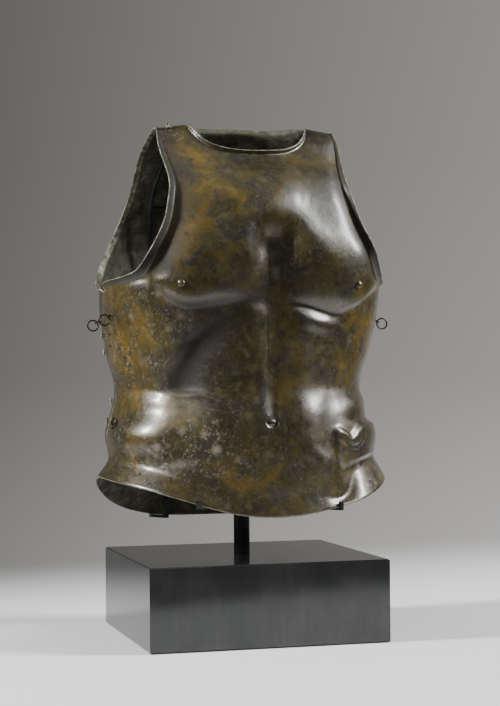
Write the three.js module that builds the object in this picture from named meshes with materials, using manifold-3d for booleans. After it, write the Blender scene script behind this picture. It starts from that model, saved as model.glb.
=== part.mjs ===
// Bronze muscle cuirass (breastplate and backplate of hammered sheet) on a block-and-post display stand.
// Millimetres, +Z up. Origin: centre of the underside of the base block. The chest faces -Y.

import * as THREE from 'three';
import Module from 'manifold-3d';
import { mergeVertices } from 'three/addons/utils/BufferGeometryUtils.js';

// ---------------------------------------------------------------- driving dimensions

const BLOCK = { width: 297, depth: 268, height: 100, chamfer: 1.5 };
const POST = { radius: 10, top: 552 };
const SHEET = 1.8;           // wall of the hammered sheet
const GAP = 0.3;             // clearance between pieces that touch on the real thing
const SEAM_GAP = 0.7;        // from each plate's edge to the side seam plane
const EDGE_STRIP = 2.8;      // flat strip of sheet along the side seam and the shoulder seam

// Horizontal sections of the torso: height, half width, y of the side seam, y of the chest middle,
// y of the back middle, squareness of the section (2 is an ellipse).
const SECTIONS = [
  [130, 168, 4, -138, 126, 2.3],
  [200, 167, 10, -136, 122, 2.3],
  [225, 165, 16, -136, 123, 2.35],
  [250, 168, 21, -136, 124, 2.4],
  [275, 161, 25, -135, 122, 2.35],
  [305, 155, 28, -128, 112, 2.3],
  [350, 165, 26, -126, 116, 2.5],
  [400, 172, 19, -124, 126, 2.9],
  [440, 172, 14, -128, 131, 3.2],
  [480, 171, 8, -131, 132, 3.3],
  [520, 166, 0, -121, 126, 3.3],
  [560, 158, -10, -100, 106, 3.3],
  [590, 149, -19, -74, 80, 3.2],
  [610, 141, -24, -58, 52, 3.1],
  [622, 135, -27, -47, 26, 3.0],
  [630, 131, -29, -37, 0, 3.0],
  [634, 129, -30, -30, -30, 3.0],
];
const NECK_HALF_WIDTH = 79;
const SHOULDER_DROP = 0.15;  // fall of the shoulder outwards from the neck, mm per mm
const SHOULDER_FROM = 560;   // height where that fall begins
const RIDGE = 634;           // height of the shoulder seam
const BACK_NECK_LIFT = 24;   // how far the back of the neck stands above its section

// Side edge of each plate: place along the armhole from 0 to 1, degrees round from the middle, height.
const FRONT_ARMHOLE = [
  [0, 88.8, 431], [0.12, 72, 431.5], [0.24, 56, 433], [0.33, 48, 441], [0.45, 42, 466],
  [0.58, 38, 500], [0.7, 36.5, 532], [0.82, 36.6, 563], [0.93, 41.5, 598], [1, 50, 633.2],
];
const BACK_ARMHOLE = [
  [0, 88.8, 428], [0.15, 76, 431], [0.3, 62, 445], [0.45, 52, 470], [0.6, 45.5, 500],
  [0.72, 42, 530], [0.84, 41, 563], [0.94, 44.5, 597], [1, 51, 633.2],
];
// Everted lip of the front armhole: place along it, then outward, backward and upward reach.
const FRONT_LIP = [
  [0, 4.5, 0, 5.5], [0.12, 7, -1, 6.5], [0.24, 8, -3, 7.5], [0.33, 9, -5, 7], [0.45, 9, -6.5, 3.2],
  [0.58, 8.5, -7, 1.5], [0.7, 8, -7, 0.5], [0.82, 7.5, -6.5, 0], [0.93, 6.5, -4.5, 0.5], [1, 3.6, 0, 0.8],
];
const BACK_LIP = [
  [0, 4, 0, 3], [0.3, 5.5, -1, 2], [0.7, 4.5, -1.5, 0], [0.93, 4, 0, 0.5], [1, 3.6, 0, 0.8],
];
const ARM_START = 0.44;      // share of the side edge that is side seam
const STRAP = 0.66;          // share of the half width of the top edge that is neck opening

// Height of the neck edge in the middle, and how sharply it climbs to the shoulder.
const NECK = { front: { height: 592, power: 3 }, back: { height: 612, power: 2.2 } };
// Turned-out rim of the neck, forward or backward reach and rise.
const NECK_RIM = { front: [0, -1.5, 4.5], back: [0, 2.5, 5] };

const FLANGE_HEIGHT = 22;    // flared hem below the hips
// Bottom edge: lowest height, rise to the side, power of the sine it climbs by.
const HEM = { front: [155, 45, 2], back: [140, 58, 4] };
const HEM_LIFT = { height: 8.5, middle: -44, width: 24 };   // front hem, bent up a little on the right hip
const SEAM_FADE = 6;         // degrees over which the muscles die away before the side seam
const SHOULDER_FADE = 40;    // the same below the shoulder seam, mm

const BRONZE = { color: 0x6b5230, roughness: 0.38, metalness: 0.85 };
const DARK_BRONZE = { color: 0x34332a, roughness: 0.55, metalness: 0.8 };
const BLACK_STEEL = { color: 0x17181a, roughness: 0.4, metalness: 0.9 };
const PATINATED_STEEL = { color: 0x3d3e40, roughness: 0.3, metalness: 0.9 };

const group = new THREE.Group();

function add(name, geometry, finish) {
  const mesh = new THREE.Mesh(geometry, new THREE.MeshStandardMaterial(finish));
  mesh.name = name;
  group.add(mesh);
  return mesh;
}

// ---------------------------------------------------------------- smooth curves and waves

// Value of a column of stations at q: cubic pieces with the slope of a parabola at each station.
function through(stations, column, q) {
  const last = stations.length - 1;
  const at = Math.min(Math.max(q, stations[0][0]), stations[last][0]);
  let k = 0;
  while (k < last - 1 && at >= stations[k + 1][0]) k += 1;
  const width = (i) => stations[i + 1][0] - stations[i][0];
  const rise = (i) => (stations[i + 1][column] - stations[i][column]) / width(i);
  const slope = (i) => {
    if (i === 0) return rise(0);
    if (i === last) return rise(last - 1);
    return (rise(i - 1) * width(i) + rise(i) * width(i - 1)) / (width(i) + width(i - 1));
  };
  const h = width(k);
  const t = (at - stations[k][0]) / h;
  return (2 * t ** 3 - 3 * t ** 2 + 1) * stations[k][column] + (t ** 3 - 2 * t ** 2 + t) * h * slope(k)
    + (3 * t ** 2 - 2 * t ** 3) * stations[k + 1][column] + (t ** 3 - t ** 2) * h * slope(k + 1);
}

const wave = (q, middle, width) => Math.exp(-(((q - middle) / width) ** 2));
const step = (q, middle, width) => 0.5 * (1 + Math.tanh((q - middle) / width));
const clamp01 = (q) => Math.min(Math.max(q, 0), 1);
const degrees = (d) => THREE.MathUtils.degToRad(d);

// ---------------------------------------------------------------- torso

// Point of the plain torso, angle in degrees round from the middle of the plate, side -1 front, +1 back.
function torsoPoint(angle, height, side) {
  const a = through(SECTIONS, 1, height);
  const seam = through(SECTIONS, 2, height);
  const middle = through(SECTIONS, side < 0 ? 3 : 4, height);
  const n = through(SECTIONS, 5, height);
  const s = Math.sin(degrees(angle));
  const c = Math.cos(degrees(angle));
  const reach = (Math.abs(s) ** n + Math.abs(c) ** n) ** (-1 / n);
  const x = a * reach * s;
  const y = seam + (middle - seam) * reach * c;
  const high = clamp01((height - SHOULDER_FROM) / (RIDGE - SHOULDER_FROM));
  let z = height - SHOULDER_DROP * Math.max(Math.abs(x) - NECK_HALF_WIDTH, 0) * high;
  if (side > 0) z += BACK_NECK_LIFT * Math.max(1 - (x / NECK_HALF_WIDTH) ** 2, 0) * Math.min(high * 1.5, 1);
  return new THREE.Vector3(x, y, z);
}

function plainHem(angle, side) {
  const [low, rise, power] = side < 0 ? HEM.front : HEM.back;
  return low + rise * Math.abs(Math.sin(degrees(angle))) ** power;
}

function hemLift(angle, side) {
  return side < 0 ? HEM_LIFT.height * wave(angle, HEM_LIFT.middle, HEM_LIFT.width) : 0;
}

const hemHeight = (angle, side) => plainHem(angle, side) + hemLift(angle, side);

// Outward lean of the hem: nothing above its crease, most at its edge, little in the middle of the plate.
function hemFlare(angle, height, side) {
  const above = (height - hemHeight(angle, side)) / FLANGE_HEIGHT;
  const most = side < 0 ? 2.5 + 12.5 * step(Math.abs(angle), 34, 7) : 7 + 8 * step(Math.abs(angle), 40, 10);
  return most * clamp01(1 - above) ** 1.2;
}

// Foot of the pectorals (degrees, height), edge of the hollow under the ribs (height, degrees) and the line
// where the chest meets the lip of the armhole (height, degrees).
const PECTORAL_CREASE = [
  [-60, 446], [-42.5, 429], [-37.5, 413], [-32, 405], [-21, 408], [-10, 411], [-3.4, 413], [2.2, 410],
  [12, 408], [21.6, 402], [28.6, 399], [36.6, 406], [44.6, 421], [60, 446],
];
const RIB_EDGE = [
  [296, 41], [304, 43], [318, 43], [337, 39.5], [354, 35], [367, 32.5], [380, 28], [388, 24], [398, 28],
  [414, 37], [430, 46], [440, 52],
];
const ARM_CREASE = [
  [433, 54], [441, 48], [466, 42], [500, 38], [532, 36.5], [563, 36.6], [598, 41.5], [633, 50],
];

// Height of the embossed muscles over the plain torso, front plate.
function chestRelief(angle, height) {
  const t = Math.abs(angle);
  const right = angle < 0;
  const crease = through(PECTORAL_CREASE, 1, angle);
  const over = Math.max(height - crease + 2, 0);
  const rise = height > 440 ? wave(height, 440, 85) : 1;
  const pectoral = 13 * (1 - Math.exp(-over / 9)) * wave(t, 31, 22) * rise;
  const breastbone = -5.5 * wave(angle, 3.5, 4) * step(height, 415, 6) * step(503, height, 13);
  const under = step(crease - 5, height, 4.5);
  const rectus = 3 * (wave(angle, -6, 5) + wave(angle, 15, 7.5)) * step(height, 275, 14) * under;
  const midline = -1.8 * wave(angle, 1.5, 3) * step(height, 279, 4) * under;
  const inside = through(RIB_EDGE, 1, height) - t;
  const ribSpan = step(height, 304, 4) * step(390, height, 6);
  const belowRibs = (right ? -7.5 : -3) * step(inside, 0, 2) * wave(Math.max(inside, 0), 0, 11) * ribSpan;
  const hipSpan = step(height, 219, 6) * step(299, height, 5);
  const besideHip = right ? step(40, t, 3) * wave(t, 36, 7) : step(31, t, 1.6) * wave(t, 29, 5.5);
  const insideHip = -4.5 * besideHip * hipSpan;
  const belly = 4 * wave(angle, 0, 26) * wave(height, 225, 32);
  const besideLip = -3.6 * wave(t, through(ARM_CREASE, 1, height) + 1, 3.4) * step(height, 437, 6);
  return pectoral + breastbone + rectus + midline + belowRibs + insideHip + belly + besideLip;
}

// Height of the shoulder blades, the furrow of the spine and the loins, back plate.
function backRelief(angle, height) {
  const t = Math.abs(angle);
  const blades = 8 * wave(t, 27, 15) * wave(height, 500, 55);
  const spine = -6 * wave(angle, 0, 6) * step(height, 215, 20) * step(560 - height, 0, 20);
  const loins = 4 * wave(t, 16, 9) * wave(height, 300, 60);
  return blades + spine + loins;
}

// ---------------------------------------------------------------- plates

// Closed shell from a grid of outer points: the inner grid is set back by the wall along the normals, and
// each four-cornered patch is split across its shorter diagonal.
function shell(grid, wall) {
  const columns = grid.length;
  const rows = grid[0].length;
  const positions = [];
  const normals = grid.map((line, i) => line.map((p, j) => {
    const alongU = grid[Math.min(i + 1, columns - 1)][j].clone().sub(grid[Math.max(i - 1, 0)][j]);
    const alongV = line[Math.min(j + 1, rows - 1)].clone().sub(line[Math.max(j - 1, 0)]);
    return alongU.cross(alongV).normalize();
  }));
  for (const back of [0, wall]) {
    for (let i = 0; i < columns; i += 1) {
      for (let j = 0; j < rows; j += 1) {
        const p = grid[i][j].clone().addScaledVector(normals[i][j], -back);
        positions.push(p.x, p.y, p.z);
      }
    }
  }
  const outer = (i, j) => i * rows + j;
  const inner = (i, j) => columns * rows + i * rows + j;
  const index = [];
  const apart = (a, b, axis) => positions[3 * a + axis] - positions[3 * b + axis];
  const span = (a, b) => Math.hypot(apart(a, b, 0), apart(a, b, 1), apart(a, b, 2));
  const quad = (a, b, c, d) => {
    if (span(a, c) <= span(b, d)) index.push(a, b, c, a, c, d);
    else index.push(a, b, d, b, c, d);
  };
  for (let i = 0; i < columns - 1; i += 1) {
    for (let j = 0; j < rows - 1; j += 1) {
      quad(outer(i, j), outer(i + 1, j), outer(i + 1, j + 1), outer(i, j + 1));
      quad(inner(i, j), inner(i, j + 1), inner(i + 1, j + 1), inner(i + 1, j));
    }
  }
  for (let i = 0; i < columns - 1; i += 1) {
    quad(outer(i, 0), inner(i, 0), inner(i + 1, 0), outer(i + 1, 0));
    quad(outer(i, rows - 1), outer(i + 1, rows - 1), inner(i + 1, rows - 1), inner(i, rows - 1));
  }
  for (let j = 0; j < rows - 1; j += 1) {
    quad(outer(0, j), outer(0, j + 1), inner(0, j + 1), inner(0, j));
    quad(outer(columns - 1, j), inner(columns - 1, j), inner(columns - 1, j + 1), outer(columns - 1, j + 1));
  }
  const geometry = new THREE.BufferGeometry();
  geometry.setAttribute('position', new THREE.Float32BufferAttribute(positions, 3));
  geometry.setIndex(index);
  return geometry;
}

// Angle and height of a place on a plate: u from -1 to 1 across it, v from 0 at the hem to 1 at the top.
function platePlace(u, v, side) {
  const edge = side < 0 ? FRONT_ARMHOLE : BACK_ARMHOLE;
  const hemSide = plainHem(edge[0][1], side);
  let edgeAngle = edge[0][1];
  let edgeHeight = hemSide + (edge[0][2] - hemSide) * (v / ARM_START);
  if (v > ARM_START) {
    const along = (v - ARM_START) / (1 - ARM_START);
    edgeAngle = through(edge, 1, along);
    edgeHeight = through(edge, 2, along);
  }
  const neck = side < 0 ? NECK.front : NECK.back;
  const hemPower = (side < 0 ? HEM.front : HEM.back)[2];
  const middleHeight = plainHem(0, side) + (neck.height - plainHem(0, side)) * v;
  const hemShare = Math.abs(Math.sin(degrees(u * edge[0][1]))) ** hemPower;
  const neckShare = clamp01(Math.abs(u) / STRAP) ** neck.power;
  const share = hemShare * (1 - v) + neckShare * v;
  const angle = u * edgeAngle;
  return [angle, middleHeight + (edgeHeight - middleHeight) * share + hemLift(angle, side) * (1 - v) ** 2];
}

// Outer point of a plate inside its lips and strips, muscles and hem flange included.
function plateCore(u, v, side) {
  const [angle, height] = platePlace(u, v, side);
  const nudge = 0.6;
  const p = torsoPoint(angle, height, side);
  const round = torsoPoint(angle + nudge, height, side).sub(torsoPoint(angle - nudge, height, side));
  const rise = torsoPoint(angle, Math.min(height + 1, RIDGE), side).sub(torsoPoint(angle, height - 1, side));
  const normal = round.cross(rise).multiplyScalar(-side).normalize();
  const relief = side < 0 ? chestRelief(angle, height) : backRelief(angle, height);
  // the muscles die away towards the side seam and the shoulder, so the two plates meet flush
  const seamAngle = FRONT_ARMHOLE[0][1];
  const fade = clamp01((seamAngle - Math.abs(angle)) / SEAM_FADE) * clamp01((RIDGE - height) / SHOULDER_FADE);
  p.addScaledVector(normal, relief * fade);
  const flat = new THREE.Vector3(normal.x, normal.y * fade, 0).normalize();
  return p.addScaledVector(flat, hemFlare(angle, height, side));
}

// One plate: core grid, a lip of two strips along each armhole, and a strip along the neck and shoulders.
function plate(side, columns, rows) {
  const lip = side < 0 ? FRONT_LIP : BACK_LIP;
  const sideReach = (v, hand) => {
    if (v <= ARM_START) return new THREE.Vector3(0, -side * (EDGE_STRIP - SEAM_GAP), 0);
    const along = (v - ARM_START) / (1 - ARM_START);
    const [outward, backward, upward] = [1, 2, 3].map((column) => through(lip, column, along));
    return new THREE.Vector3(hand * outward, backward, upward);
  };
  const topReach = (u) => {
    const strap = clamp01((Math.abs(u) - STRAP + 0.06) / 0.06);
    const neck = new THREE.Vector3(...(side < 0 ? NECK_RIM.front : NECK_RIM.back));
    const seam = new THREE.Vector3(0, -side * 0.4, 0.2);
    return neck.lerp(seam, strap);
  };
  const grid = [];
  const lips = 2;
  for (let i = -lips; i <= columns + lips; i += 1) {
    const line = [];
    const inside = Math.min(Math.max(i, 0), columns);
    const u = -1 + (2 * inside) / columns;
    const beyond = Math.abs(i - inside) / lips;
    for (let j = 0; j <= rows + 1; j += 1) {
      const v = Math.min(j / rows, 1);
      const p = plateCore(u, v, side);
      if (beyond > 0) p.addScaledVector(sideReach(v, Math.sign(u)), beyond);
      if (j > rows) p.add(topReach(u));
      line.push(p);
    }
    grid.push(line);
  }
  if (side > 0) grid.reverse();
  return shell(grid, SHEET);
}

const breastplate = add('breastplate', plate(-1, 30, 36), BRONZE);
const backplate = add('backplate', plate(1, 22, 24), BRONZE);

// ---------------------------------------------------------------- solid joins and placing

const wasm = await Module();
wasm.setup();

function toSolid(geometry) {
  const bare = new THREE.BufferGeometry();
  bare.setAttribute('position', geometry.getAttribute('position'));
  bare.setIndex(geometry.getIndex());
  const merged = mergeVertices(bare, 1e-4);
  return new wasm.Manifold(new wasm.Mesh({
    numProp: 3,
    vertProperties: new Float32Array(merged.getAttribute('position').array),
    triVerts: new Uint32Array(merged.getIndex().array),
  }));
}

// Pieces soldered or forged together, as one body.
function joined(geometries) {
  const solid = geometries.map(toSolid).reduce((whole, piece) => whole.add(piece));
  const { vertProperties, triVerts } = solid.getMesh();
  const geometry = new THREE.BufferGeometry();
  geometry.setAttribute('position', new THREE.Float32BufferAttribute(vertProperties, 3));
  geometry.setIndex(new THREE.Uint32BufferAttribute(triVerts, 1));
  return geometry;
}

// Turns a geometry made along +Z so that it points along a direction, then moves it to a place.
function aim(geometry, direction, place) {
  const up = new THREE.Vector3(0, 0, 1);
  const turn = new THREE.Quaternion().setFromUnitVectors(up, direction.clone().normalize());
  return geometry.applyQuaternion(turn).translate(place.x, place.y, place.z);
}

// Rod between two points.
function rod(from, to, radius, sides = 12) {
  const axis = to.clone().sub(from);
  const geometry = new THREE.CylinderGeometry(radius, radius, axis.length(), sides).rotateX(Math.PI / 2);
  return aim(geometry, axis, from.clone().add(to).multiplyScalar(0.5));
}

// Where a line square to the torso meets the outside of a plate, the way of that line and the facing there.
function spot(plateMesh, side, angle, height) {
  const inner = torsoPoint(angle, height, side);
  const normal = torsoPoint(angle + 2, height, side).sub(torsoPoint(angle - 2, height, side))
    .cross(torsoPoint(angle, height + 4, side).sub(torsoPoint(angle, height - 4, side)))
    .multiplyScalar(-side).normalize();
  const start = inner.addScaledVector(normal, 60);
  const ray = new THREE.Raycaster(start, normal.clone().negate());
  const [hit] = ray.intersectObject(plateMesh);
  return { place: hit.point, normal, facing: hit.face.normal };
}

// ---------------------------------------------------------------- studs, rivets, rings

// Domed head standing on the plate.
function dome(radius, height, sides) {
  const profile = [new THREE.Vector2(0, 0), new THREE.Vector2(radius, 0)];
  for (let k = 1; k < 4; k += 1) {
    const turn = (k / 4) * (Math.PI / 2);
    profile.push(new THREE.Vector2(radius * Math.cos(turn), height * (0.25 + 0.75 * Math.sin(turn))));
  }
  profile.push(new THREE.Vector2(0, height));
  return new THREE.LatheGeometry(profile, sides).rotateX(Math.PI / 2);
}

const NIPPLES = { right: [-33, 434], left: [35, 434] };
for (const [hand, [angle, height]] of Object.entries(NIPPLES)) {
  const { place, facing } = spot(breastplate, -1, angle, height);
  add(`nipple_stud_${hand}`, aim(dome(4.2, 4, 14), facing, place.addScaledVector(facing, 0.8)), BRONZE);
}

const RIVETS = {
  rivet_right_upper: [-79, 375], rivet_right_lower: [-80.5, 361], rivet_left_upper: [78, 373],
  rivet_left_lower: [80, 352],
};
for (const [name, [angle, height]] of Object.entries(RIVETS)) {
  const { place, normal } = spot(breastplate, -1, angle, height);
  add(name, aim(dome(1.6, 2, 8), normal, place.addScaledVector(normal, 0.5)), DARK_BRONZE);
}

const RING = { radius: 6.6, wire: 0.95 };
const EYE = { radius: 2.6, wire: 0.8, stand: 5.5 };
// Each ring hangs in an eye whose shank went through the plate: plate side, angle, height, lie of the ring.
const RINGS = {
  front_right: [-1, -72, 397, [-0.7, 0, -0.7]],
  front_left: [-1, 72, 392, [0.9, 0, -0.44]],
  back_right: [1, -79, 392, [-0.76, 0, -0.65]],
  back_left: [1, 79, 390, [0.76, 0, -0.65]],
};
for (const [name, [side, angle, height, lie]] of Object.entries(RINGS)) {
  const { place, normal } = spot(side < 0 ? breastplate : backplate, side, angle, height);
  const link = place.clone().addScaledVector(normal, EYE.stand);
  const away = new THREE.Vector3(...lie).normalize();
  const across = new THREE.Vector3(0, -1, 0);
  const middle = link.clone().addScaledVector(away, RING.radius);
  const ring = new THREE.TorusGeometry(RING.radius, RING.wire, 6, 18);
  add(`ring_${name}`, aim(ring, across, middle), DARK_BRONZE);
  const eye = aim(new THREE.TorusGeometry(EYE.radius, EYE.wire, 6, 12), across.clone().cross(away), link);
  const shank = rod(place.clone().addScaledVector(normal, 0.6),
    place.clone().addScaledVector(normal, EYE.stand - EYE.radius + 0.4), 1.1, 8);
  add(`ring_eye_${name}`, joined([eye, shank]), DARK_BRONZE);
}

// ---------------------------------------------------------------- hinge remains and shoulder peg

// Broken knuckles left on the edge of the back plate, along the right side seam.
const KNUCKLES = { upper_1: 375, upper_2: 355, lower_1: 292, lower_2: 268 };
for (const [name, height] of Object.entries(KNUCKLES)) {
  const { place, normal } = spot(backplate, 1, -84, height);
  const middle = place.clone().addScaledVector(normal, 2.6);
  const along = torsoPoint(84, height + 8, 1).sub(torsoPoint(84, height - 8, 1)).setX(0).normalize();
  along.addScaledVector(normal, -along.dot(normal)).normalize();
  const half = along.multiplyScalar(3.5);
  add(`hinge_knuckle_${name}`, rod(middle.clone().sub(half), middle.clone().add(half), 1.6, 8), DARK_BRONZE);
}

// Thick washer of the lower hinge on the right hip.
const WASHER = { outer: 8, inner: 4, thickness: 2.6, stand: 1.2 };
function washer({ outer, inner, thickness }, sides) {
  const profile = [[inner, 0], [outer, 0], [outer, thickness], [inner, thickness], [inner, 0]];
  const points = profile.map(([x, y]) => new THREE.Vector2(x, y));
  return new THREE.LatheGeometry(points, sides).rotateX(Math.PI / 2);
}
const hip = spot(breastplate, -1, -78, 264);
const washerPlace = hip.place.clone().addScaledVector(hip.normal, WASHER.stand);
add('hinge_washer', aim(washer(WASHER, 16), hip.normal, washerPlace), DARK_BRONZE);

// Peg that once held the shoulder fastening, on the right strap of the breastplate.
const PEG = { x: -101, y: -36, radius: 2.2, height: 7, stand: 3.2 };
const overStrap = new THREE.Vector3(PEG.x, PEG.y, RIDGE + 20);
const down = new THREE.Vector3(0, 0, -1);
const strapHit = new THREE.Raycaster(overStrap, down).intersectObject(breastplate)[0].point;
const pegFoot = strapHit.clone().setZ(strapHit.z + PEG.stand);
const pegTop = pegFoot.clone().setZ(pegFoot.z + PEG.height);
add('shoulder_peg', rod(pegFoot, pegTop, PEG.radius, 10), DARK_BRONZE);

// ---------------------------------------------------------------- stand

function baseBlock() {
  const c = BLOCK.chamfer;
  const w = BLOCK.width / 2 - c;
  const d = BLOCK.depth / 2 - c;
  const corners = [[-w, -d], [w, -d], [w, d], [-w, d]];
  const outline = new THREE.Shape(corners.map(([x, y]) => new THREE.Vector2(x, y)));
  return new THREE.ExtrudeGeometry(outline, {
    depth: BLOCK.height - 2 * c, bevelThickness: c, bevelSize: c, bevelSegments: 1,
  }).translate(0, 0, c);
}
add('base_block', baseBlock(), PATINATED_STEEL);

const postFoot = new THREE.Vector3(0, 0, BLOCK.height + GAP);
add('post', rod(postFoot, new THREE.Vector3(0, 0, POST.top), POST.radius, 24), BLACK_STEEL);

// Flat arm on edge, welded to the post, that runs out inside a plate and hooks under its hem.
const ARM = { thickness: 6, depth: 10, level: 196 };
const HOOK = { drop: 5, grip: 1.6, inside: 18, tip: [2.2, 5] };
function hookArm(angle, side) {
  const hem = plateCore(angle / FRONT_ARMHOLE[0][1], 0, side);
  const heading = Math.atan2(hem.y, hem.x);
  const reach = Math.hypot(hem.x, hem.y);
  const foot = hem.z;
  const inside = reach - HOOK.inside;
  const [tipFrom, tipTo] = HOOK.tip.map((past) => reach + past);
  const leg = inside - ARM.thickness;
  const outline = [
    [POST.radius + GAP, ARM.level - ARM.depth], [leg, ARM.level - ARM.depth], [leg, foot - HOOK.drop],
    [tipTo, foot - HOOK.drop], [tipTo, foot + HOOK.drop], [tipFrom, foot + HOOK.drop],
    [tipFrom, foot - HOOK.grip], [inside, foot - HOOK.grip], [inside, ARM.level],
    [POST.radius + GAP, ARM.level],
  ];
  const shape = new THREE.Shape(outline.map(([r, z]) => new THREE.Vector2(r, z)));
  const bar = new THREE.ExtrudeGeometry(shape, { depth: ARM.thickness, bevelEnabled: false });
  return bar.translate(0, 0, -ARM.thickness / 2).rotateX(Math.PI / 2).rotateZ(heading);
}
const HOOKS = { front_right: [-29, -1], front_left: [29, -1], back_right: [-29, 1], back_left: [29, 1] };
for (const [name, [angle, side]] of Object.entries(HOOKS)) {
  add(`hook_arm_${name}`, hookArm(angle, side), BLACK_STEEL);
}

// Thin upright inside the back plate on each side, from the hem to under the shoulder.
const UPRIGHT = { radius: 3.3, from: 212, to: 600 };
// Height, degrees round from the middle of the back, distance inside the plain torso.
const UPRIGHT_ROUTE = [
  [212, 27, 12], [300, 29, 12], [400, 29, 12], [500, 30, 12], [560, 34, 16], [600, 38, 26],
];
function uprightPlace(height, hand) {
  const p = torsoPoint(through(UPRIGHT_ROUTE, 1, height) * hand, height, 1);
  const out = new THREE.Vector3(p.x * 0.3, p.y, 0).normalize();
  return p.setZ(height).addScaledVector(out, -through(UPRIGHT_ROUTE, 2, height));
}
for (const [name, hand] of [['upright_right', -1], ['upright_left', 1]]) {
  const places = [];
  const stretch = (UPRIGHT.to - UPRIGHT.from) / 8;
  for (let k = 0; k <= 8; k += 1) places.push(uprightPlace(UPRIGHT.from + stretch * k, hand));
  const section = new THREE.Shape().absarc(0, 0, UPRIGHT.radius, 0, Math.PI * 2);
  add(name, new THREE.ExtrudeGeometry(section, {
    steps: 14, curveSegments: 8, extrudePath: new THREE.CatmullRomCurve3(places),
  }), BLACK_STEEL);
}

// Crossbar between the uprights and the arm that ties it to the post.
const TIE = { height: 545, radius: 2.2 };
const barEnd = uprightPlace(TIE.height, 1).setZ(TIE.height);
const barReach = barEnd.x - UPRIGHT.radius - 2 * GAP;
const barLeft = new THREE.Vector3(barReach, barEnd.y, TIE.height);
const barRight = barLeft.clone().setX(-barReach);
add('crossbar', rod(barRight, barLeft, TIE.radius, 8), BLACK_STEEL);
const tieFoot = new THREE.Vector3(0, POST.radius + GAP, TIE.height);
const tieEnd = new THREE.Vector3(0, barEnd.y - TIE.radius - GAP, TIE.height);
add('tie_arm', rod(tieFoot, tieEnd, TIE.radius, 8), BLACK_STEEL);

export default group;
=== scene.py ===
import bpy
import numpy as np
from mathutils import Matrix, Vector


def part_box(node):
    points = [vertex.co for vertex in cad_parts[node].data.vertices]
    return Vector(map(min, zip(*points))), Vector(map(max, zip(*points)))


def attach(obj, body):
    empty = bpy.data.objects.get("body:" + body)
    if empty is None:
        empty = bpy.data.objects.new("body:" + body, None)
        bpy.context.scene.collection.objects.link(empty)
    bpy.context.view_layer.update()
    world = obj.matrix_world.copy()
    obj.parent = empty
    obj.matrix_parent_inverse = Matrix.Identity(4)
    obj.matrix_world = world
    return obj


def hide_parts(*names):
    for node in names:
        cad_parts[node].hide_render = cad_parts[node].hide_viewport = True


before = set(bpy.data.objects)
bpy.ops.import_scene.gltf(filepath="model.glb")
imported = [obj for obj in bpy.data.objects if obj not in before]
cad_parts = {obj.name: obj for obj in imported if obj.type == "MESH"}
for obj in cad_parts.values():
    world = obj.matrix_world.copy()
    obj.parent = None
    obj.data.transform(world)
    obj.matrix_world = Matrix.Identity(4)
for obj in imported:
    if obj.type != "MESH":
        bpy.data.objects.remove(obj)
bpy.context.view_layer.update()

# ---------------------------------------------------------------- base block
# The stand's foot: a closed box of sheet steel, chemically darkened to a blue-grey patina and waxed.
# The top is rubbed to a dull mirror; the sides keep the faint upright streaks of the brushed-on acid.


def linear(code):
    """An sRGB hex colour as linear red, green, blue and 1."""
    value = np.array([int(code[k:k + 2], 16) for k in (1, 3, 5)]) / 255
    return (*np.where(value <= 0.04045, value / 12.92, ((value + 0.055) / 1.055) ** 2.4), 1.0)


def add_node(tree, kind, inputs=None, stops=None, **settings):
    """Adds one node, sets its properties, colour stops and sockets, and links the sockets given an output."""
    node = tree.nodes.new("ShaderNode" + kind)
    for name, value in settings.items():
        setattr(node, name, value)
    if stops:
        while len(node.color_ramp.elements) < len(stops):
            node.color_ramp.elements.new(0.5)
        for element, (place, colour) in zip(node.color_ramp.elements, stops):
            element.position = place
            element.color = linear(colour)
    for socket, value in (inputs or {}).items():
        if isinstance(value, bpy.types.NodeSocket):
            tree.links.new(value, node.inputs[socket])
        else:
            node.inputs[socket].default_value = value
    return node


def new_material(name):
    """An empty node material, its tree, its Object coordinates and its surface socket."""
    material = bpy.data.materials.new(name)
    material.use_nodes = True
    tree = material.node_tree
    tree.nodes.clear()
    coords = tree.nodes.new("ShaderNodeTexCoord").outputs["Object"]
    out = tree.nodes.new("ShaderNodeOutputMaterial")
    return material, tree, coords, out.inputs["Surface"]


def wear(node, material):
    """Gives a carried-over CAD node its finish."""
    node.data.materials.clear()
    node.data.materials.append(material)


def waxed_patinated_steel():
    """Chemically blackened steel under wax: a dark metal with soft mirror gloss, cloudy at about 60 mm where
    the acid pooled, and drawn out on the sides in upright streaks about 2 mm wide."""
    material, tree, coords, surface = new_material("patinated_steel_waxed")
    cloud = add_node(tree, "TexNoise", {"Vector": coords, "Scale": 16, "Detail": 5, "Roughness": 0.6})
    drawn = add_node(tree, "Mapping", {"Vector": coords, "Scale": (480, 480, 14)})
    streak = add_node(tree, "TexNoise", {"Vector": drawn.outputs[0], "Scale": 1, "Detail": 3})
    blotch = add_node(tree, "Mix", {0: 0.25, 2: cloud.outputs[0], 3: streak.outputs[0]})
    tint = add_node(tree, "ValToRGB", {0: blotch.outputs[0]},
                    stops=[(0.3, "#383a3b"), (0.5, "#414242"), (0.7, "#4e4e4c")])
    dulled = add_node(tree, "MapRange", {0: cloud.outputs[0], 1: 0.3, 2: 0.7, 3: 0.08, 4: 0.15})
    fine = add_node(tree, "TexNoise", {"Vector": coords, "Scale": 700, "Detail": 2})
    grain = add_node(tree, "Bump", {"Strength": 0.06, "Distance": 0.0003, "Height": fine.outputs[0]})
    steel = add_node(tree, "BsdfPrincipled", {
        "Base Color": tint.outputs[0], "Metallic": 0.65, "Roughness": dulled.outputs[0],
        "Normal": grain.outputs[0]})
    tree.links.new(steel.outputs[0], surface)
    return material


wear(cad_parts["base_block"], waxed_patinated_steel())

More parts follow.
